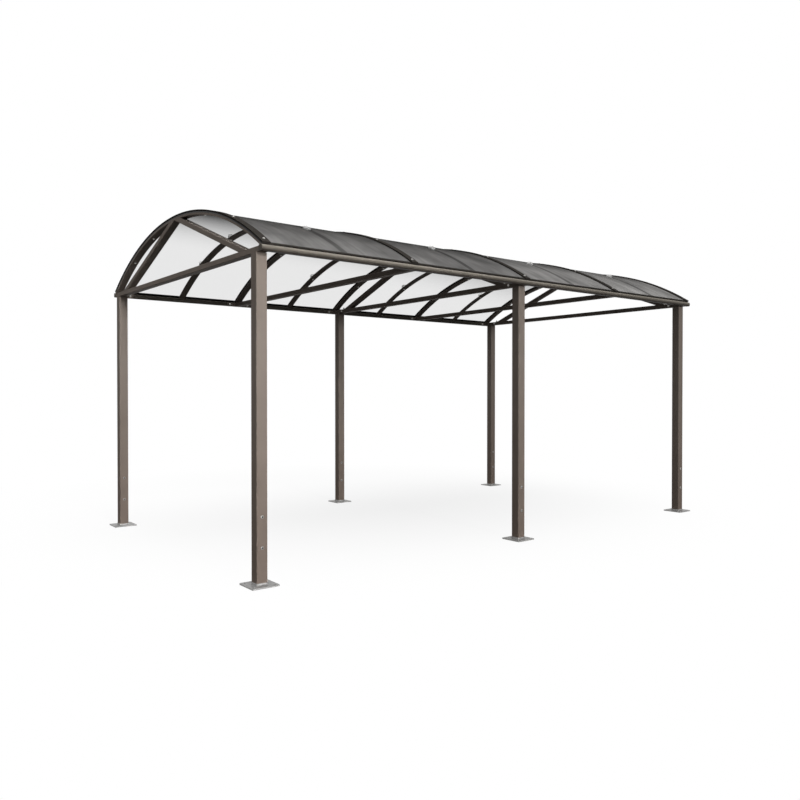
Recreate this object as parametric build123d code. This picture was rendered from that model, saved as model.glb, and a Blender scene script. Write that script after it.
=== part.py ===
from build123d import *
import math
import os

# A free-standing bike shelter: six square posts carry three roof frames, two eaves beams and a barrel roof
# of curved see-through sheets. The length runs along X, the span along Y, and the feet stand on Z = 0.
# All lengths are in millimetres.

# plan
bay_length = 2500
bay_count = 2
span = 2820
arches_per_bay = 4
arches_per_sheet = 2

# posts, square tube with a welded head plate
post_width = 80
post_wall = 3
post_corner = 6
head_plate = 5

# feet, a bolted base plate with a stub that the post slides over
foot_width = 200
foot_plate = 10
foot_corner = 10
foot_hole = 14
foot_hole_pitch = 150
stub_height = 500
stub_wall = 4
stub_clearance = 0.3

# eaves beams, hollow section with a bulged outer face, held off the posts by the ties and closed by end caps
eaves_height = 2205
beam_gap = 34
beam_width = 46
beam_height = 40
beam_wall = 2
beam_corner = 4
beam_bulge = 26
end_cap = 3

# ties and rafters of the roof frames, rectangular tube laid flat
frame_tube_width = 60
frame_tube_depth = 40
frame_tube_wall = 2
frame_tube_corner = 4
rafter_setback = 95

# arches, flat tube bent on the flat
arch_rise = 430
arch_width = 60
arch_depth = 15
arch_wall = 2

# roof sheets and what holds their edges
sheet_thickness = 10
sheet_joint = 10
seal_thickness = 5
cover_width = 60
cover_thickness = 3
cover_rise = 8
cover_lip = 12
edge_web = 2
trim_thickness = 1.5
trim_leg = 22
trim_end_room = 1
seat_gap = 0.3

# angle cleats that bolt each tie to the eaves beams
cleat_thickness = 4
cleat_height = 34
cleat_beam_leg = 100
cleat_tie_leg = 60

# share of the size that it follows
inner_corner_share = 0.5

# one overrun for all cuts
overrun = 50

# places worked out from the sizes above
roof_length = bay_length * bay_count
beam_length = roof_length + post_width
beam_inside = (span + post_width) / 2 + beam_gap
beam_top = eaves_height + beam_height
arch_inner = (beam_inside**2 + arch_rise**2) / (2 * arch_rise)
arch_outer = arch_inner + arch_depth
roof_centre = beam_top + arch_rise - arch_inner
sheet_inner = arch_outer + seat_gap
sheet_outer = sheet_inner + sheet_thickness
sheet_end_room = seal_thickness + seat_gap
cover_inner = sheet_outer + seat_gap + cover_rise
cover_outer = cover_inner + cover_thickness
trim_inner = arch_outer - trim_thickness
trim_outer = sheet_outer + seat_gap + trim_thickness
web_angle = math.degrees(math.acos((beam_top - roof_centre) / trim_inner))
hook_angle = web_angle - math.degrees(edge_web / sheet_inner)
sheet_angle = hook_angle - math.degrees(seat_gap / sheet_inner)
trim_angle = web_angle - math.degrees(trim_leg / sheet_outer)
frame_top = eaves_height + frame_tube_depth

arch_pitch = bay_length / arches_per_bay
arch_places = [i * arch_pitch - roof_length / 2 for i in range(bay_count * arches_per_bay + 1)]
frame_places = arch_places[::arches_per_bay]
joint_places = arch_places[::arches_per_sheet]


def along_x(face, start, length):
    """A face in the YZ plane, drawn out along X from start."""
    return Pos(start, 0, 0) * extrude(face, length, dir=(1, 0, 0))


def flat_tube(width, depth, wall, corner, length):
    """A straight rectangular tube along Z, standing on Z = 0."""
    skin = RectangleRounded(width, depth, corner)
    bore = RectangleRounded(width - 2 * wall, depth - 2 * wall, corner * inner_corner_share)
    return extrude(skin - bore, length)


def arc_band(inner, outer, start_angle, end_angle):
    """The face between two radii of the roof; angles run from the crown towards the back eaves."""
    with BuildSketch(Plane.YZ) as band:
        with BuildLine():
            outside = CenterArc((0, roof_centre), outer, 90 - end_angle, end_angle - start_angle)
            inside = CenterArc((0, roof_centre), inner, 90 - end_angle, end_angle - start_angle)
            Line(outside @ 0, inside @ 0)
            Line(outside @ 1, inside @ 1)
        make_face()
    return band.sketch


def above(height, reach):
    """The half of the YZ plane above a height, as a wide face."""
    return Plane.YZ * Pos(0, height) * Rectangle(2 * reach, reach, align=(Align.CENTER, Align.MIN))


def roof_disc(radius):
    """A full disc about the roof's centre, in the YZ plane."""
    return Plane.YZ * Pos(0, roof_centre) * Circle(radius)


def post(x, y):
    """A square tube with a plate welded on its head."""
    tube_height = eaves_height - head_plate - foot_plate
    tube = flat_tube(post_width, post_width, post_wall, post_corner, tube_height)
    head = extrude(RectangleRounded(post_width, post_width, post_corner), head_plate)
    return Pos(x, y, foot_plate) * (tube + Pos(0, 0, tube_height) * head)


def post_foot(x, y):
    """A base plate with four holes and a welded stub inside the post."""
    plate = RectangleRounded(foot_width, foot_width, foot_corner)
    holes = GridLocations(foot_hole_pitch, foot_hole_pitch, 2, 2) * Circle(foot_hole / 2)
    stub_width = post_width - 2 * post_wall - 2 * stub_clearance
    stub = flat_tube(stub_width, stub_width, stub_wall, post_corner, stub_height)
    return Pos(x, y, 0) * (extrude(plate - holes, foot_plate) + Pos(0, 0, foot_plate) * stub)


def beam_outline():
    """The eaves beam's outline, from its inner face outwards and from its underside up."""
    middle = beam_height / 2
    shoulder = beam_width - beam_bulge + math.sqrt(beam_bulge**2 - middle**2)
    with BuildSketch() as outline:
        with BuildLine():
            bulge = ThreePointArc((shoulder, 0), (beam_width, middle), (shoulder, beam_height))
            Polyline(bulge @ 1, (0, beam_height), (0, 0), bulge @ 0)
        make_face()
    return fillet(outline.sketch.vertices(), beam_corner)


def beam_face(outline):
    """A section of the back eaves beam, in its place."""
    return Plane.YZ * Pos(beam_inside, eaves_height) * outline


def eaves_beam_back():
    """The hollow back beam, between its end caps."""
    outline = beam_outline()
    bore = offset(outline, amount=-beam_wall)
    start = end_cap - beam_length / 2
    return along_x(beam_face(outline - bore), start, beam_length - 2 * end_cap)


def end_caps_back():
    """The two plates that close the back beam."""
    cap = beam_face(beam_outline())
    return [along_x(cap, start, end_cap) for start in (-beam_length / 2, beam_length / 2 - end_cap)]


def arch(x):
    """A bent flat tube whose ends are cut level to stand on the eaves beams."""
    skin = (roof_disc(arch_outer) - roof_disc(arch_inner)) & above(beam_top, arch_outer)
    bore = roof_disc(arch_outer - arch_wall) - roof_disc(arch_inner + arch_wall)
    bore = bore & above(beam_top - overrun, arch_outer)
    solid = along_x(skin, x - arch_width / 2, arch_width)
    return solid - along_x(bore, x - arch_width / 2 + arch_wall, arch_width - 2 * arch_wall)


def tie(x):
    """A tube across the span, from one eaves beam to the other."""
    tube = flat_tube(frame_tube_width, frame_tube_depth, frame_tube_wall, frame_tube_corner, 2 * beam_inside)
    laid = Rot(90, 0, 0) * tube
    return Pos(x, beam_inside, eaves_height + frame_tube_depth / 2) * laid


def rafter_back(x):
    """A sloping tube from the tie to the crown, coped to the underside of the arch."""
    foot = span / 2 - post_width / 2 - rafter_setback
    climb = roof_centre + arch_inner - frame_top
    reach = math.hypot(foot, climb)
    slope = math.degrees(math.atan2(climb, foot) + math.asin(frame_tube_depth / reach))
    length = reach + 4 * frame_tube_depth
    tube = flat_tube(frame_tube_width, frame_tube_depth, frame_tube_wall, frame_tube_corner, length)
    from_top_edge = Pos(0, -frame_tube_depth / 2, -2 * frame_tube_depth) * tube
    sloped = Pos(x, foot, frame_top) * Rot(90 - slope, 0, 0) * from_top_edge
    room = roof_disc(arch_inner - seat_gap) & above(frame_top, arch_inner)
    half = Rectangle(arch_inner, 2 * arch_inner, align=(Align.MIN, Align.CENTER))
    half = Plane.YZ * Pos(0, roof_centre) * half
    return sloped & along_x(room & half, x - frame_tube_width, 2 * frame_tube_width)


def roof_sheet(start, end):
    """A curved sheet between two joints, lying on the arches."""
    return along_x(arc_band(sheet_inner, sheet_outer, -sheet_angle, sheet_angle), start, end - start)


def cover_strip(x, outward):
    """A shallow channel over a joint, closed at both eaves; an end strip also laps the sheet's edge."""
    section = arc_band(cover_inner, cover_outer, -web_angle, web_angle)
    section += arc_band(sheet_inner, cover_inner, hook_angle, web_angle)
    section += arc_band(sheet_inner, cover_inner, -web_angle, -hook_angle)
    strip = along_x(section, x - cover_width / 2, cover_width)
    flange = arc_band(sheet_outer + seat_gap, cover_inner, -web_angle, web_angle)
    strip += along_x(flange, x - cover_width / 2, cover_thickness)
    strip += along_x(flange, x + cover_width / 2 - cover_thickness, cover_thickness)
    if outward:
        lip = arc_band(cover_outer - cover_lip, cover_outer, -web_angle, web_angle)
        lip_start = x + outward * cover_width / 2 + min(outward, 0) * cover_thickness
        strip += along_x(lip, lip_start, cover_thickness)
    return strip


def sheet_end_seal(x, outward):
    """A curved strip that closes the end of the last sheet, level with the side of the end arch."""
    section = arc_band(sheet_inner, sheet_outer, -sheet_angle, sheet_angle)
    return along_x(section, x + outward * arch_width / 2 - max(outward, 0) * seal_thickness, seal_thickness)


def sheet_edge_trim_back(start, end):
    """A channel on a sheet's lower edge, between two cover strips; its inner leg is cut out at the arch."""
    section = arc_band(sheet_inner, trim_outer, hook_angle, web_angle)
    section += arc_band(sheet_outer + seat_gap, trim_outer, trim_angle, web_angle)
    trim = along_x(section, start, end - start)
    leg = arc_band(trim_inner, arch_outer, trim_angle, web_angle)
    leg += arc_band(arch_outer, sheet_inner, hook_angle, web_angle)
    leg_length = (end - start - arch_width) / 2 - trim_end_room
    trim += along_x(leg, start, leg_length)
    trim += along_x(leg, end - leg_length, leg_length)
    return trim


def cleat_back(x, side):
    """An angle between the side of a tie and the inner face of the back beam."""
    beam_leg = Rectangle(cleat_beam_leg, cleat_thickness, align=(Align.MIN, Align.MAX))
    tie_leg = Rectangle(cleat_thickness, cleat_tie_leg, align=(Align.MIN, Align.MAX))
    angle = extrude(beam_leg + tie_leg, cleat_height)
    if side < 0:
        angle = mirror(angle, about=Plane.YZ)
    lift = eaves_height + (frame_tube_depth - cleat_height) / 2
    return Pos(x + side * frame_tube_width / 2, beam_inside, lift) * angle


def to_front(shape):
    """The same piece on the front side of the shelter."""
    return mirror(shape, about=Plane.XZ)


pieces = {}

for i, x in enumerate(frame_places, 1):
    for side, y in (("front", -span / 2), ("back", span / 2)):
        pieces[f"post_{side}_{i}"] = post(x, y)
        pieces[f"post_foot_{side}_{i}"] = post_foot(x, y)
    pieces[f"rafter_back_{i}"] = rafter_back(x)
    pieces[f"rafter_front_{i}"] = to_front(pieces[f"rafter_back_{i}"])

pieces["eaves_beam_back"] = eaves_beam_back()
pieces["eaves_beam_front"] = to_front(pieces["eaves_beam_back"])
back_caps = end_caps_back()
pieces["eaves_beam_end_caps"] = Compound(children=back_caps + [to_front(cap) for cap in back_caps])

for i, x in enumerate(arch_places, 1):
    pieces[f"arch_{i}"] = arch(x)

seals = []
for i, x in enumerate(joint_places, 1):
    pieces[f"tie_{i}"] = tie(x)
    outward = {1: -1, len(joint_places): 1}.get(i, 0)
    pieces[f"cover_strip_{i}"] = cover_strip(x, outward)
    if outward:
        seals.append(sheet_end_seal(x, outward))

pieces["sheet_end_seals"] = Compound(children=seals)

back_trims = []
for i, (left, right) in enumerate(zip(joint_places, joint_places[1:]), 1):
    start = left - arch_width / 2 + sheet_end_room if i == 1 else left + sheet_joint / 2
    end = right + arch_width / 2 - sheet_end_room if right == joint_places[-1] else right - sheet_joint / 2
    pieces[f"roof_sheet_{i}"] = roof_sheet(start, end)
    trim_room = cover_width / 2 + trim_end_room
    back_trims.append(sheet_edge_trim_back(left + trim_room, right - trim_room))

pieces["sheet_edge_trims_back"] = Compound(children=back_trims)
pieces["sheet_edge_trims_front"] = Compound(children=[to_front(trim) for trim in back_trims])

back_cleats = []
for x in joint_places:
    sides = [side for side in (-1, 1) if abs(x + side * arch_pitch) < roof_length / 2]
    back_cleats += [cleat_back(x, side) for side in sides]
pieces["beam_cleats_back"] = Compound(children=back_cleats)
pieces["beam_cleats_front"] = Compound(children=[to_front(cleat) for cleat in back_cleats])

os.makedirs("parts", exist_ok=True)
for name, shape in pieces.items():
    export_step(shape, f"parts/{name}.step")
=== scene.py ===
import bmesh
import bpy
import math
from mathutils import Matrix, Vector


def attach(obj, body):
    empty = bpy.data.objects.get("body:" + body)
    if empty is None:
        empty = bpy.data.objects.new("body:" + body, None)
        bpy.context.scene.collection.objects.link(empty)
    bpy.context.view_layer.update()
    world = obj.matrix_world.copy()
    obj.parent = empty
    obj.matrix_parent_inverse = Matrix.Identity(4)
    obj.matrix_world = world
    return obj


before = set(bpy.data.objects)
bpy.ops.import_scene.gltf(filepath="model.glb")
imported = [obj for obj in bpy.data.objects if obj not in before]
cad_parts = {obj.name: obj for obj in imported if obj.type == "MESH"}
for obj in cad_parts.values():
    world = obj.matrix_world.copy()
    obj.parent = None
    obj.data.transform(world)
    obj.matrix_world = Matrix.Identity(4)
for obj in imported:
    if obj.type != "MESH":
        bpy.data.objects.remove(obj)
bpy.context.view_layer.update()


# Base plates: square steel plates with four anchor holes and a welded stub that the post slides over.
# They are hot-dip galvanised after welding, so the zinc has a faint spangle, dull patches and a soft shine.
zinc_shades = ((0.275, 0.271, 0.266), (0.500, 0.493, 0.483))
zinc_roughness = (0.42, 0.62)


def feed(tree, node, inputs):
    """The inputs of a node: one that is a socket is linked, and any other is set."""
    for name, value in inputs.items():
        if isinstance(value, bpy.types.NodeSocket):
            tree.links.new(value, node.inputs[name])
        else:
            node.inputs[name].default_value = value


def add(tree, kind, inputs=None, **settings):
    """A new node of a tree, with its settings and its inputs."""
    node = tree.nodes.new(kind)
    for name, value in settings.items():
        setattr(node, name, value)
    feed(tree, node, inputs or {})
    return node


def new_finish(name):
    """An empty material with its Object coordinates and its shader, joined to the output."""
    finish = bpy.data.materials.new(name)
    finish.use_nodes = True
    tree = finish.node_tree
    tree.nodes.clear()
    shader = add(tree, "ShaderNodeBsdfPrincipled")
    add(tree, "ShaderNodeOutputMaterial", {"Surface": shader.outputs[0]})
    place = add(tree, "ShaderNodeTexCoord").outputs["Object"]
    return finish, tree, shader, place


def new_effect(name, inputs, outputs):
    """An empty node group with float sockets after its place; returns the tree and its two end nodes."""
    effect = bpy.data.node_groups.new(name, "ShaderNodeTree")
    effect.interface.new_socket("Place", in_out="INPUT", socket_type="NodeSocketVector")
    for socket in inputs:
        effect.interface.new_socket(socket, in_out="INPUT", socket_type="NodeSocketFloat")
    for socket in outputs:
        effect.interface.new_socket(socket, in_out="OUTPUT", socket_type="NodeSocketFloat")
    return effect, effect.nodes.new("NodeGroupInput"), effect.nodes.new("NodeGroupOutput")


def place_effect(tree, effect, inputs):
    """A node group placed in a material with its own values."""
    return add(tree, "ShaderNodeGroup", inputs, node_tree=effect)


def blend(tree, share, first, second):
    """A colour that runs from a first one to a second with a share; either may be a socket."""
    ends = [end if isinstance(end, bpy.types.NodeSocket) else (*end, 1) for end in (first, second)]
    mix = add(tree, "ShaderNodeMix", {"Factor": share, "A": ends[0], "B": ends[1]}, data_type="RGBA")
    return mix.outputs["Result"]


def ramp(tree, value, span=(0.0, 1.0), reach=(0.0, 1.0), ease="LINEAR"):
    """A value that runs over a reach while another runs over a span."""
    limits = {"From Min": span[0], "From Max": span[1], "To Min": reach[0], "To Max": reach[1]}
    node = add(tree, "ShaderNodeMapRange", {"Value": value, **limits}, interpolation_type=ease)
    return node.outputs["Result"]


def combine(tree, operation, *terms, **settings):
    """A value worked out from one or two others."""
    node = add(tree, "ShaderNodeMath", dict(enumerate(terms)), operation=operation, **settings)
    return node.outputs[0]


def noise(tree, place, scale, detail):
    """A soft random share that changes over the surface."""
    node = add(tree, "ShaderNodeTexNoise", {"Vector": place, "Scale": scale, "Detail": detail})
    return node.outputs["Fac"]


def bump(tree, height, strength, depth):
    """A normal that follows a small height."""
    node = add(tree, "ShaderNodeBump", {"Height": height, "Strength": strength, "Distance": depth})
    return node.outputs["Normal"]


def dress(names, finish):
    """A finish put on all the slots of the named CAD pieces."""
    for name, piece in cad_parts.items():
        if name.startswith(names):
            for slot in piece.material_slots:
                slot.material = finish


# Coat grain is the close pebble of a sprayed or dipped coat, with slow patches of tone across it.
coat_grain, ends_in, ends_out = new_effect("coat_grain", ["Pebble Scale", "Patch Scale"], ["Pebble", "Patch"])
feed(coat_grain, ends_out, {
    "Pebble": noise(coat_grain, ends_in.outputs["Place"], ends_in.outputs["Pebble Scale"], detail=3.0),
    "Patch": noise(coat_grain, ends_in.outputs["Place"], ends_in.outputs["Patch Scale"], detail=5.0),
})

zinc, tree, shader, place = new_finish("galvanised_zinc")
grain = place_effect(tree, coat_grain, {"Place": place, "Pebble Scale": 420.0, "Patch Scale": 18.0})
spangle = add(tree, "ShaderNodeTexVoronoi", {"Vector": place, "Scale": 95.0, "Randomness": 1.0})
crystal = add(tree, "ShaderNodeSeparateColor", {"Color": spangle.outputs["Color"]})
zinc_tone = combine(tree, "MULTIPLY", crystal.outputs["Red"], grain.outputs["Patch"])
feed(tree, shader, {
    "Base Color": blend(tree, zinc_tone, *zinc_shades),
    "Roughness": ramp(tree, grain.outputs["Patch"], reach=zinc_roughness),
    "Metallic": 0.55,
    "Normal": bump(tree, grain.outputs["Pebble"], strength=0.18, depth=0.0004),
})

dress(("post_foot",), zinc)


# Foot collars: a low square collar of galvanised flat, welded to each base plate round the foot of the post.
# It steadies the cut end of the tube and shows as a bright band below the brown coat.
bay_length = 2.5
frame_lines = (-bay_length, 0.0, bay_length)
half_span = 1.41
post_rows = (-half_span, half_span)
plate_top = 0.010
collar_half = 0.0425
collar_wall = 0.0030
collar_height = 0.013
collar_sink = 0.0005
collar_corner = 0.007
collar_rim_round = 0.0022
collar_rim_reach = 0.040


def set_fixings(name, pattern, spots, finish, smooth_below=40):
    """One piece with a copy of a small shape at every spot, a place and the direction it points in."""
    one = bpy.data.meshes.new(name + "_one")
    pattern.to_mesh(one)
    every = bmesh.new()
    for spot, direction in spots:
        first = len(every.verts)
        every.from_mesh(one)
        every.verts.ensure_lookup_table()
        turn = Vector((0, 0, 1)).rotation_difference(Vector(direction)).to_matrix().to_4x4()
        bmesh.ops.transform(every, matrix=Matrix.Translation(spot) @ turn, verts=every.verts[first:])
    mesh = bpy.data.meshes.new(name)
    every.to_mesh(mesh)
    mesh.shade_smooth()
    mesh.set_sharp_from_angle(angle=math.radians(smooth_below))
    mesh.materials.append(finish)
    bpy.data.meshes.remove(one)
    piece = bpy.data.objects.new(name, mesh)
    bpy.context.scene.collection.objects.link(piece)
    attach(piece, "root")


collar = bmesh.new()
bmesh.ops.create_grid(collar, x_segments=1, y_segments=1, size=collar_half)
ring = bmesh.ops.inset_region(collar, faces=collar.faces[:], thickness=collar_wall, use_boundary=True,
                              use_even_offset=True)["faces"]
bmesh.ops.delete(collar, geom=[face for face in collar.faces if face not in ring], context="FACES")
bmesh.ops.solidify(collar, geom=collar.faces[:], thickness=collar_height)
collar_foot = min(vert.co.z for vert in collar.verts)
bmesh.ops.translate(collar, verts=collar.verts[:], vec=(0, 0, -collar_foot - collar_sink))
bmesh.ops.recalc_face_normals(collar, faces=collar.faces[:])
corners = [edge for edge in collar.edges
           if abs(edge.verts[0].co.z - edge.verts[1].co.z) > collar_height / 2
           and abs(edge.verts[0].co.x) > collar_half - collar_wall / 2]
bmesh.ops.bevel(collar, geom=corners, offset=collar_corner, affect="EDGES", segments=4, profile=0.5,
                material=-1)
rim = [edge for edge in collar.edges
       if all(vert.co.z > collar_height / 2 and max(abs(vert.co.x), abs(vert.co.y)) > collar_rim_reach
              for vert in edge.verts)]
bmesh.ops.bevel(collar, geom=rim, offset=collar_rim_round, affect="EDGES", segments=3, profile=0.5,
                material=-1)
collar_spots = [((x, y, plate_top), (0, 0, 1)) for x in frame_lines for y in post_rows]
set_fixings("foot_collars", collar, collar_spots, zinc)


# Posts, ties, rafters, arches and cleats: rolled steel tube, cut, welded, galvanised and powder coated in one
# warm grey-brown. The coat is matt, with a fine pebble, and is painted darker towards the ground as painted
# shade.
coat_shades = ((0.196, 0.164, 0.140), (0.262, 0.222, 0.193))
coat_dust = (0.42, 0.40, 0.37)
coat_roughness = (0.46, 0.60)
foot_shade_height = 1.6
foot_shade_tones = ((0.78, 0.73, 0.71), (1.0, 1.0, 1.0))
dust_slope = (0.35, 1.0)
dust_breaks = (0.35, 0.75)


def part_of(tree, vector, axis):
    """One of the three parts of a vector."""
    return add(tree, "ShaderNodeSeparateXYZ", {"Vector": vector}).outputs[axis]


# Settled dust is a thin broken film that gathers on faces which look upwards.
settled_dust, ends_in, ends_out = new_effect("settled_dust", ["Film", "Grain Scale"], ["Mask"])
dust_facing = add(settled_dust, "ShaderNodeNewGeometry").outputs["Normal"]
dust_upward = ramp(settled_dust, part_of(settled_dust, dust_facing, "Z"), span=dust_slope)
dust_specks = noise(settled_dust, ends_in.outputs["Place"], ends_in.outputs["Grain Scale"], detail=6.0)
dust_gaps = ramp(settled_dust, dust_specks, span=dust_breaks)
dust_broken = combine(settled_dust, "MULTIPLY", dust_upward, dust_gaps)
dust_mask = combine(settled_dust, "MULTIPLY", dust_broken, ends_in.outputs["Film"])
feed(settled_dust, ends_out, {"Mask": dust_mask})

frame_coat, tree, shader, place = new_finish("frame_powder_coat")
grain = place_effect(tree, coat_grain, {"Place": place, "Pebble Scale": 650.0, "Patch Scale": 3.2})
dust = place_effect(tree, settled_dust, {"Place": place, "Film": 0.10, "Grain Scale": 26.0})
clean_coat = blend(tree, grain.outputs["Patch"], *coat_shades)
dusty_coat = blend(tree, dust.outputs["Mask"], clean_coat, coat_dust)
# Painted shade: the coat is multiplied darker and browner towards the ground, fading out at the height given
# above.
above_foot_shade = ramp(tree, part_of(tree, place, "Z"), span=(0.0, foot_shade_height))
painted_foot_shade = blend(tree, above_foot_shade, *foot_shade_tones)
foot_shaded_coat = add(tree, "ShaderNodeVectorMath", {0: dusty_coat, 1: painted_foot_shade}, operation="MULTIPLY")
feed(tree, shader, {
    "Base Color": foot_shaded_coat.outputs["Vector"],
    "Roughness": ramp(tree, grain.outputs["Pebble"], reach=coat_roughness),
    "Normal": bump(tree, grain.outputs["Pebble"], strength=0.22, depth=0.0003),
    "Specular IOR Level": 0.012,
})

dress(("post_front", "post_back", "tie", "rafter", "arch", "beam_cleats"), frame_coat)


# Eaves beams and their end caps: a rolled section with a bulged outer face along each eaves, in a dark bronze
# coat. The half of the bulge that looks up is painted much lighter as a painted highlight, and the underside
# keeps the dark coat, which also stands as its painted shade.
beam_shades = ((0.046, 0.039, 0.033), (0.060, 0.051, 0.044))
lit_bulge_tones = ((0.182, 0.164, 0.138), (0.232, 0.212, 0.181))
lit_bulge_slope = (-0.55, 0.55)
beam_roughness = (0.40, 0.54)

beam_coat, tree, shader, place = new_finish("beam_bronze_coat")
grain = place_effect(tree, coat_grain, {"Place": place, "Pebble Scale": 650.0, "Patch Scale": 2.4})
beam_facing = add(tree, "ShaderNodeNewGeometry").outputs["Normal"]
# Painted highlight: faces that look up get a much lighter colour than faces that look down, which stay dark
# as painted shade.
beam_highlight_share = ramp(tree, part_of(tree, beam_facing, "Z"), span=lit_bulge_slope)
deep_bronze = blend(tree, grain.outputs["Patch"], *beam_shades)
highlight_bronze = blend(tree, grain.outputs["Patch"], *lit_bulge_tones)
feed(tree, shader, {
    "Base Color": blend(tree, beam_highlight_share, deep_bronze, highlight_bronze),
    "Roughness": ramp(tree, grain.outputs["Pebble"], reach=beam_roughness),
    "Normal": bump(tree, grain.outputs["Pebble"], strength=0.15, depth=0.0003),
    "Specular IOR Level": 0.02,
})

dress(("eaves_beam",), beam_coat)


# Post bolts: two stainless button-head bolts go through each post and its stub, one above the other.
# Their heads stand on the front and back faces of every post, and a black rubber disc in each socket is
# painted shade for the recess.
post_half = 0.040
bolt_heights = (0.255, 0.460)
weld_distance = 1e-6
stainless_shades = ((0.30, 0.29, 0.275), (0.46, 0.45, 0.43))
stainless_roughness = (0.22, 0.40)
rubber_shades = ((0.018, 0.018, 0.018), (0.040, 0.039, 0.038))
rubber_roughness = (0.62, 0.80)

stainless, tree, shader, place = new_finish("stainless_steel")
grain = place_effect(tree, coat_grain, {"Place": place, "Pebble Scale": 900.0, "Patch Scale": 140.0})
feed(tree, shader, {
    "Base Color": blend(tree, grain.outputs["Patch"], *stainless_shades),
    "Roughness": ramp(tree, grain.outputs["Pebble"], reach=stainless_roughness),
    "Metallic": 0.9,
})

rubber, tree, shader, place = new_finish("black_rubber")
grain = place_effect(tree, coat_grain, {"Place": place, "Pebble Scale": 600.0, "Patch Scale": 80.0})
feed(tree, shader, {
    "Base Color": blend(tree, grain.outputs["Patch"], *rubber_shades),
    "Roughness": ramp(tree, grain.outputs["Pebble"], reach=rubber_roughness),
})


def turned(profile, steps):
    """A closed mesh turned about Z from points of radius and height, from the middle of the foot upwards."""
    shape = bmesh.new()
    points = [shape.verts.new((radius, 0, height)) for radius, height in profile]
    edges = [shape.edges.new(pair) for pair in zip(points, points[1:])]
    bmesh.ops.spin(shape, geom=points + edges, cent=(0, 0, 0), axis=(0, 0, 1), angle=2 * math.pi,
                   steps=steps, use_merge=True)
    bmesh.ops.remove_doubles(shape, verts=shape.verts, dist=weld_distance)
    bmesh.ops.recalc_face_normals(shape, faces=shape.faces)
    return shape


button_head = turned([(0, -0.0010), (0.0114, -0.0010), (0.0114, 0.0016), (0.0106, 0.0040), (0.0088, 0.0056),
                      (0.0074, 0.0060), (0.0069, 0.0056), (0.0069, 0.0020), (0, 0.0020)], steps=24)
# Painted shade: a black disc fills each socket almost to the rim, standing in for the shade inside it.
socket_shade_disc = turned([(0, 0.0014), (0.0068, 0.0014), (0.0068, 0.0042), (0.0054, 0.0050), (0, 0.0052)],
                     steps=24)
post_spots = [((x, y + side * post_half, z), (0, side, 0))
              for x in frame_lines for y in post_rows for z in bolt_heights for side in (-1, 1)]
set_fixings("post_bolts", button_head, post_spots, stainless)
set_fixings("post_bolt_socket_shade", socket_shade_disc, post_spots, rubber)


# Tie bolts: near each post one hex bolt with a washer clamps the tie, and a second holds the foot of the
# rafter that stands on it. The heads show on the sides that look into the bays; the outer sides stay plain.
tie_half_width = 0.030
tie_bolt_reach = 1.32
tie_bolt_height = 2.2245
rafter_bolt_reach = 1.275
rafter_bolt_height = 2.252
hex_radius = 0.0088
hex_seat = 0.0010
hex_height = 0.0070
hex_chamfer = 0.0009


def looks_inside(x, side):
    """True where one side of a tie looks into a bay, and not out of an end of the shelter."""
    return abs(x + side * tie_half_width) < bay_length


hex_bolt = turned([(0, -0.001), (0.0115, -0.001), (0.0115, 0.0014), (0.0085, 0.0015), (0, 0.0016)], steps=24)
bmesh.ops.create_cone(hex_bolt, cap_ends=True, segments=6, radius1=hex_radius, radius2=hex_radius,
                      depth=hex_height, matrix=Matrix.Translation((0, 0, hex_seat + hex_height / 2)))
hex_rims = [edge for edge in hex_bolt.edges
            if all(abs(vert.co.z - hex_seat - hex_height) < weld_distance for vert in edge.verts)]
bmesh.ops.bevel(hex_bolt, geom=hex_rims, offset=hex_chamfer, affect="EDGES", segments=2, profile=0.5,
                material=-1)
tie_spots = [((x + side * tie_half_width, y, height), (side, 0, 0))
             for reach, height in ((tie_bolt_reach, tie_bolt_height), (rafter_bolt_reach, rafter_bolt_height))
             for x in frame_lines for y in (-reach, reach) for side in (-1, 1) if looks_inside(x, side)]
set_fixings("tie_bolts", hex_bolt, tie_spots, stainless)


# Cleat bolts: the angle cleats beside each tie are held to the eaves beams by one hex bolt each, set well out
# along the leg where a spanner still fits, so the ties can be taken down again.
tie_pitch = bay_length / 2
tie_lines = [tie_pitch * step for step in range(-2, 3)]
cleat_inner_face = 1.480
cleat_bolt_out = 0.100
cleat_bolt_height = 2.225

cleat_spots = [((x + side * cleat_bolt_out, row * cleat_inner_face, cleat_bolt_height), (0, -row, 0))
               for x in tie_lines for side in (-1, 1) for row in (-1, 1) if looks_inside(x, side)]
set_fixings("cleat_bolts", hex_bolt, cleat_spots, stainless)


# Roof sheets: lightly smoked multiwall plastic, bent cold over the arches with the flutes along the curve. A
# sheet is see-through when looked at squarely, and its thin walls close up on the slant. Weather has left a
# cloudy haze on the outer skin, which is lighter towards the far end, with painted shadows of the arches in
# it as soft dark bands.
arch_pitch = bay_length / 4
arch_shadow_band = (0.022, 0.040)
arch_shadow_gain = (0.50, 1.0)
flute_pitch = 0.011
flute_walls = (0.97, 1.02)
streak_stretch = (26.0, 0.8, 0.8)
streak_gain = (0.72, 1.28)
cloud_stretch = (4.5, 3.0, 3.0)
cloud_span = (0.25, 0.75)
cloud_gain = (0.66, 1.34)
deep_smoke_shades = ((0.040, 0.039, 0.038), (0.070, 0.068, 0.066))
pale_smoke_shades = ((0.086, 0.083, 0.081), (0.146, 0.142, 0.138))
deep_smoke_slant = (0.02, 0.15)
smoke_slant = (0.05, 0.42)
smoke_clearness = (0.004, 0.81)
sheet_dust = (0.30, 0.29, 0.285)
sheet_roughness = (0.16, 0.30)
haze_shades = ((0.020, 0.0195, 0.019), (0.177, 0.173, 0.169))
haze_shade_slant = (0.0, 0.40)
haze_slant = (0.24, 0.80)
haze_thickness = (0.97, 0.22)
far_bay_start = (-0.25, 0.25)
far_bay_gain = (1.0, 1.70)
far_end_gain = (1.0, 1.5)
shadow_share = 0.92
bounce_share = 0.55

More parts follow.
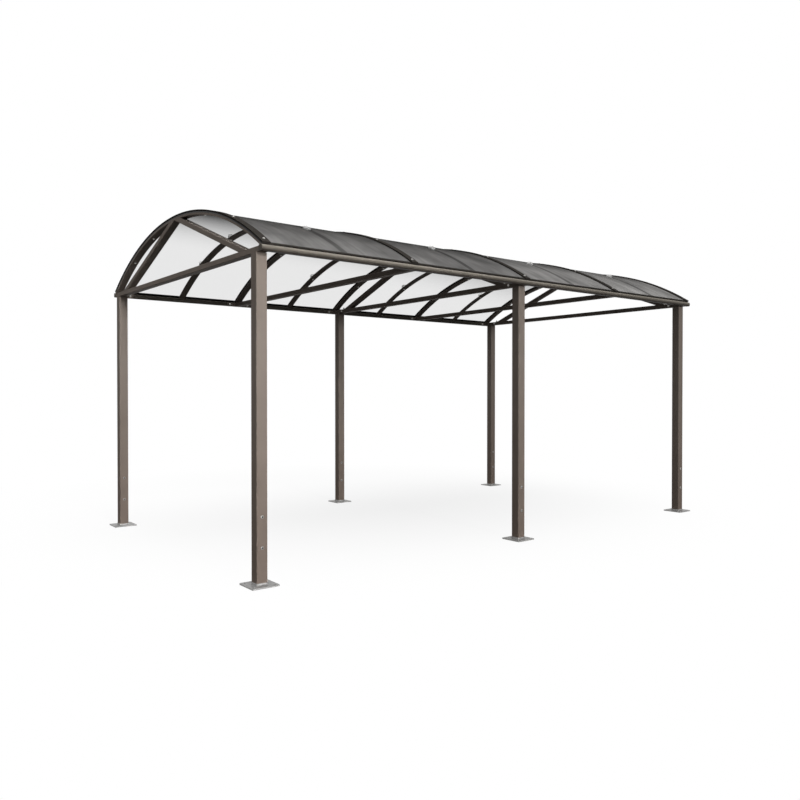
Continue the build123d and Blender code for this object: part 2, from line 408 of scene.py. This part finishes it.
smoked, tree, shader, place = new_finish("smoked_multiwall_sheet")
along_eaves = part_of(tree, place, "X")
flute_turn = combine(tree, "MULTIPLY", along_eaves, 2 * math.pi / flute_pitch)
flute = ramp(tree, combine(tree, "SINE", flute_turn), span=(-1.0, 1.0))
streak_place = add(tree, "ShaderNodeMapping", {"Vector": place, "Scale": streak_stretch}).outputs["Vector"]
streaks = noise(tree, streak_place, scale=1.0, detail=4.0)
dust = place_effect(tree, settled_dust, {"Place": place, "Film": 0.05, "Grain Scale": 9.0})
slant = add(tree, "ShaderNodeLayerWeight", {"Blend": 0.5}).outputs["Facing"]
square_on = combine(tree, "SUBTRACT", 1.0, slant)
deep_smoke = blend(tree, streaks, *deep_smoke_shades)
pale_smoke = blend(tree, streaks, *pale_smoke_shades)
smoke = blend(tree, ramp(tree, square_on, span=deep_smoke_slant), deep_smoke, pale_smoke)
dusty_smoke = blend(tree, dust.outputs["Mask"], smoke, sheet_dust)

# The haze lies only on the side of the outer skin that the weather reaches.
surface = add(tree, "ShaderNodeNewGeometry")
top_skin = combine(tree, "GREATER_THAN", part_of(tree, surface.outputs["Normal"], "Z"), 0.0)
from_outside = combine(tree, "SUBTRACT", 1.0, surface.outputs["Backfacing"])
weather_side = combine(tree, "MULTIPLY", top_skin, from_outside)
haze = blend(tree, ramp(tree, square_on, span=haze_shade_slant), *haze_shades)
# Painted shadow: the haze is darkened in soft bands over each arch, where the arch below holds back the
# light.
from_arch = combine(tree, "PINGPONG", combine(tree, "ADD", along_eaves, bay_length), arch_pitch / 2)
arch_shadow = ramp(tree, from_arch, span=arch_shadow_band, reach=arch_shadow_gain, ease="SMOOTHSTEP")
# The haze colour is made lighter towards the far end, with a step at the middle and a slope across the far
# bay.
far_bay = ramp(tree, along_eaves, span=far_bay_start, reach=far_bay_gain)
far_end = ramp(tree, along_eaves, span=(0.0, bay_length), reach=far_end_gain)
far_end_lift = combine(tree, "MULTIPLY", far_bay, far_end)
cloud_place = add(tree, "ShaderNodeMapping", {"Vector": place, "Scale": cloud_stretch}).outputs["Vector"]
clouds = ramp(tree, noise(tree, cloud_place, scale=1.0, detail=2.0), span=cloud_span, reach=cloud_gain)
cloudy = combine(tree, "MULTIPLY", far_end_lift, clouds)
arch_shadowed = combine(tree, "MULTIPLY", arch_shadow, cloudy)
streaky = combine(tree, "MULTIPLY", arch_shadowed, ramp(tree, streaks, reach=streak_gain))
haze_with_arch_shadows = add(tree, "ShaderNodeVectorMath", {0: haze, "Scale": streaky}, operation="SCALE")

# A line of sight crosses two skins, so each lets through the root of what the whole sheet does. Light that
# falls through the roof is held back more, by fixed shares for shadows and for bounced light.
clear = ramp(tree, square_on, span=smoke_slant, reach=smoke_clearness, ease="SMOOTHSTEP")
let_through = combine(tree, "MULTIPLY", combine(tree, "SQRT", clear), ramp(tree, flute, reach=flute_walls))
sight_cover = combine(tree, "SUBTRACT", 1.0, let_through, use_clamp=True)
paths = add(tree, "ShaderNodeLightPath")
shadow_cover = combine(tree, "MULTIPLY", paths.outputs["Is Shadow Ray"], shadow_share)
bounce_cover = combine(tree, "MULTIPLY", paths.outputs["Is Diffuse Ray"], bounce_share)
light_cover = combine(tree, "MAXIMUM", shadow_cover, bounce_cover)
smoke_cover = combine(tree, "MAXIMUM", sight_cover, light_cover)
haze_closing = ramp(tree, square_on, span=haze_slant, reach=haze_thickness)
haze_cover = combine(tree, "MULTIPLY", haze_closing, weather_side)
feed(tree, shader, {
    "Base Color": blend(tree, weather_side, dusty_smoke, haze_with_arch_shadows.outputs["Vector"]),
    "Roughness": ramp(tree, streaks, reach=sheet_roughness),
    "Alpha": combine(tree, "MAXIMUM", smoke_cover, haze_cover),
    "Normal": bump(tree, flute, strength=0.10, depth=0.0006),
    "Specular IOR Level": 0.0,
})

dress(("roof_sheet",), smoked)


# Sheet end seals: black rubber strips that close the open flutes at the two ends of the roof. Each is pressed
# between the end arch and the lip of the cover strip above it, and shows as a dark line along the gable.
dress(("sheet_end_seals",), rubber)


# Cover strips and sheet edge trims: folded aluminium in a dark bronze coat, with its colour darkened further
# as painted shade. The strips are screwed down over the sheet joints and both end edges, and the trims clip
# on the lower edges of the sheets along the eaves.
capping_and_shade_tones = ((0.022, 0.020, 0.018), (0.034, 0.031, 0.028))
capping_dust = (0.30, 0.29, 0.27)
capping_roughness = (0.38, 0.52)

capping, tree, shader, place = new_finish("dark_bronze_capping_and_painted_shade")
grain = place_effect(tree, coat_grain, {"Place": place, "Pebble Scale": 800.0, "Patch Scale": 5.0})
dust = place_effect(tree, settled_dust, {"Place": place, "Film": 0.03, "Grain Scale": 30.0})
# The dark tones stand partly for the coat and partly as painted shade along the strips and trims.
capping_and_painted_shade = blend(tree, grain.outputs["Patch"], *capping_and_shade_tones)
feed(tree, shader, {
    "Base Color": blend(tree, dust.outputs["Mask"], capping_and_painted_shade, capping_dust),
    "Roughness": ramp(tree, grain.outputs["Pebble"], reach=capping_roughness),
    "Normal": bump(tree, grain.outputs["Pebble"], strength=0.15, depth=0.0003),
    "Specular IOR Level": 0.0,
})

dress(("cover_strip", "sheet_edge_trims"), capping)


# Roof caps: where a sheet crosses an arch between two joints, screws with rubber sealing washers hold it.
# A frosted snap-on cap of moulded plastic covers each of them and stands square to the curve.
roof_centre = -0.1007
sheet_top_radius = 2.8010
cap_lines = [tie_pitch * (step + 0.5) for step in range(-2, 2)]
cap_reaches = (-0.98, -0.33, 0.33, 0.98)
cap_shades = ((0.72, 0.72, 0.715), (0.82, 0.82, 0.81))
cap_roughness = (0.30, 0.44)

frosted_cap, tree, shader, place = new_finish("frosted_cap_plastic")
grain = place_effect(tree, coat_grain, {"Place": place, "Pebble Scale": 700.0, "Patch Scale": 60.0})
feed(tree, shader, {
    "Base Color": blend(tree, grain.outputs["Patch"], *cap_shades),
    "Roughness": ramp(tree, grain.outputs["Pebble"], reach=cap_roughness),
    "Transmission Weight": 0.72,
})


def on_roof(x, y, radius):
    """A spot on the curve of the roof and the direction square to it."""
    rise = math.sqrt(radius * radius - y * y)
    return (x, y, roof_centre + rise), (0, y / radius, rise / radius)


roof_cap = turned([(0, -0.001), (0.0290, -0.001), (0.0290, 0.0040), (0.0274, 0.0160), (0.0240, 0.0206),
                   (0.0146, 0.0234), (0, 0.0242)], steps=32)
sealing_washer = turned([(0, 0.0002), (0.0115, 0.0002), (0.0115, 0.0026), (0.0105, 0.0034), (0, 0.0036)],
                        steps=32)
cap_spots = [on_roof(x, y, sheet_top_radius) for x in cap_lines for y in cap_reaches]
set_fixings("roof_caps", roof_cap, cap_spots, frosted_cap)
set_fixings("roof_cap_gaskets", sealing_washer, cap_spots, rubber)


# Strip screws: pan-head screws with bonded washers hold each cover strip down through the joint to the arch.
# They stand in two pairs on the slopes, clear of the crown, and one more closes the strip down at each foot.
strip_top_radius = 2.8123
strip_reaches = (-1.03, -0.55, 0.55, 1.03)
strip_foot_reaches = (-1.48, 1.48)

pan_head = turned([(0, -0.001), (0.0095, -0.001), (0.0095, 0.0014), (0.0070, 0.0016), (0.0070, 0.0036),
                   (0.0055, 0.0052), (0.0028, 0.0056), (0.0024, 0.0034), (0, 0.0032)], steps=20)
strip_spots = [on_roof(x, y, strip_top_radius) for x in tie_lines for y in strip_reaches + strip_foot_reaches]
set_fixings("strip_screws", pan_head, strip_spots, stainless)


# Arch nuts: stainless flanged nuts on the inner face of the arches, one under each roof cap and under each
# strip screw on the slopes. They are run up from inside the shelter, so their crowns point inwards.
arch_inner_radius = 2.7757

nut = turned([(0, -0.0006), (0.0100, -0.0006), (0.0100, 0.0012), (0.0080, 0.0020), (0.0070, 0.0058),
              (0.0058, 0.0066), (0, 0.0068)], steps=6)
nut_spots = []
for lines, reaches in ((cap_lines, cap_reaches), (tie_lines, strip_reaches)):
    for x in lines:
        for y in reaches:
            spot, outward = on_roof(x, y, arch_inner_radius)
            nut_spots.append((spot, [-part for part in outward]))
set_fixings("arch_nuts", nut, nut_spots, stainless, smooth_below=20)


# Floor, light and camera: a pale floor runs out of sight, with a soft pool of painted shade below the back
# eaves. A wide box of light hangs almost straight above, a narrow beam comes from the front left, a long low
# box is far in front, and the sky is low and even. The camera stands at the photograph's viewpoint.
floor_half = 60.0
floor_shades = ((0.79, 0.79, 0.79), (0.81, 0.81, 0.81))
floor_bounce = (0.05, 0.05, 0.05)
shade_middle = (0.3, 1.7, 0.0)
shade_span = (0.6, 4.6)
shade_glow = (0.80, 1.0)
sky_level = (0.42, 1.0)
white = (1, 1, 1, 1)
camera_place = (-4.7845, -5.8366, 1.2837)
camera_dip = 0.598
camera_heading = -38.11

floor_shape = bmesh.new()
bmesh.ops.create_grid(floor_shape, x_segments=1, y_segments=1, size=floor_half)
floor_mesh = bpy.data.meshes.new("floor")
floor_shape.to_mesh(floor_mesh)
floor = bpy.data.objects.new("floor", floor_mesh)
bpy.context.scene.collection.objects.link(floor)


def seen_directly(tree):
    """One for rays that come from the camera, from a shiny face or through a clear one, and else zero."""
    paths = add(tree, "ShaderNodeLightPath")
    straight = combine(tree, "MAXIMUM", paths.outputs["Is Camera Ray"], paths.outputs["Is Transmission Ray"])
    return combine(tree, "MAXIMUM", straight, paths.outputs["Is Glossy Ray"])


paving = bpy.data.materials.new("pale_floor")
paving.use_nodes = True
tree = paving.node_tree
tree.nodes.clear()
seen = seen_directly(tree)
place = add(tree, "ShaderNodeTexCoord").outputs["Object"]
pale = blend(tree, noise(tree, place, scale=3.0, detail=4.0), *floor_shades)
matt = add(tree, "ShaderNodeBsdfDiffuse", {"Color": blend(tree, seen, floor_bounce, pale)})
glow = add(tree, "ShaderNodeEmission", {"Color": white, "Strength": 1.0})
# Painted shade: near a point below the back eaves the floor glows less and shows more of its own matt
# shading.
from_shade = add(tree, "ShaderNodeVectorMath", {0: place, 1: shade_middle}, operation="DISTANCE")
fade = ramp(tree, from_shade.outputs["Value"], span=shade_span, reach=shade_glow, ease="SMOOTHSTEP")
lift = combine(tree, "MULTIPLY", seen, fade)
both = add(tree, "ShaderNodeMixShader", {0: lift, 1: matt.outputs[0], 2: glow.outputs[0]})
add(tree, "ShaderNodeOutputMaterial", {"Surface": both.outputs[0]})
floor_mesh.materials.append(paving)

sky = bpy.data.worlds.new("even_sky")
sky.use_nodes = True
tree = sky.node_tree
tree.nodes.clear()
level = ramp(tree, seen_directly(tree), reach=sky_level)
backdrop = add(tree, "ShaderNodeBackground", {"Color": white, "Strength": level})
add(tree, "ShaderNodeOutputWorld", {"Surface": backdrop.outputs[0]})
bpy.context.scene.world = sky


def softbox(name, place, aim, width, height, power, spread):
    """A rectangular lamp that looks at a point; its spread is the angle its light opens to."""
    lamp = bpy.data.lights.new(name, "AREA")
    lamp.shape = "RECTANGLE"
    lamp.size = width
    lamp.size_y = height
    lamp.energy = power
    lamp.spread = math.radians(spread)
    stand = bpy.data.objects.new(name, lamp)
    stand.location = place
    stand.rotation_euler = (Vector(aim) - Vector(place)).to_track_quat("-Z", "Y").to_euler()
    bpy.context.scene.collection.objects.link(stand)


softbox("overhead_softbox", place=(-0.6, 0.4, 9.5), aim=(0.0, 0.4, 1.5), width=8.0, height=6.0,
        power=700.0, spread=180)
softbox("left_softbox", place=(-4.6, -20.0, 7.5), aim=(-3.4, 0.0, 1.5), width=5.0, height=7.0,
        power=104.0, spread=27)
softbox("front_softbox", place=(1.5, -40.0, 3.6), aim=(1.5, 0.0, 1.2), width=14.0, height=3.0,
        power=5800.0, spread=180)

lens = bpy.data.cameras.new("camera")
lens.sensor_width = 36.0
lens.lens = 33.19
camera = bpy.data.objects.new("camera", lens)
camera.location = camera_place
camera.rotation_euler = (math.radians(90 - camera_dip), 0, math.radians(camera_heading))
bpy.context.scene.collection.objects.link(camera)
bpy.context.scene.camera = camera
bpy.context.scene.view_settings.view_transform = "Standard"
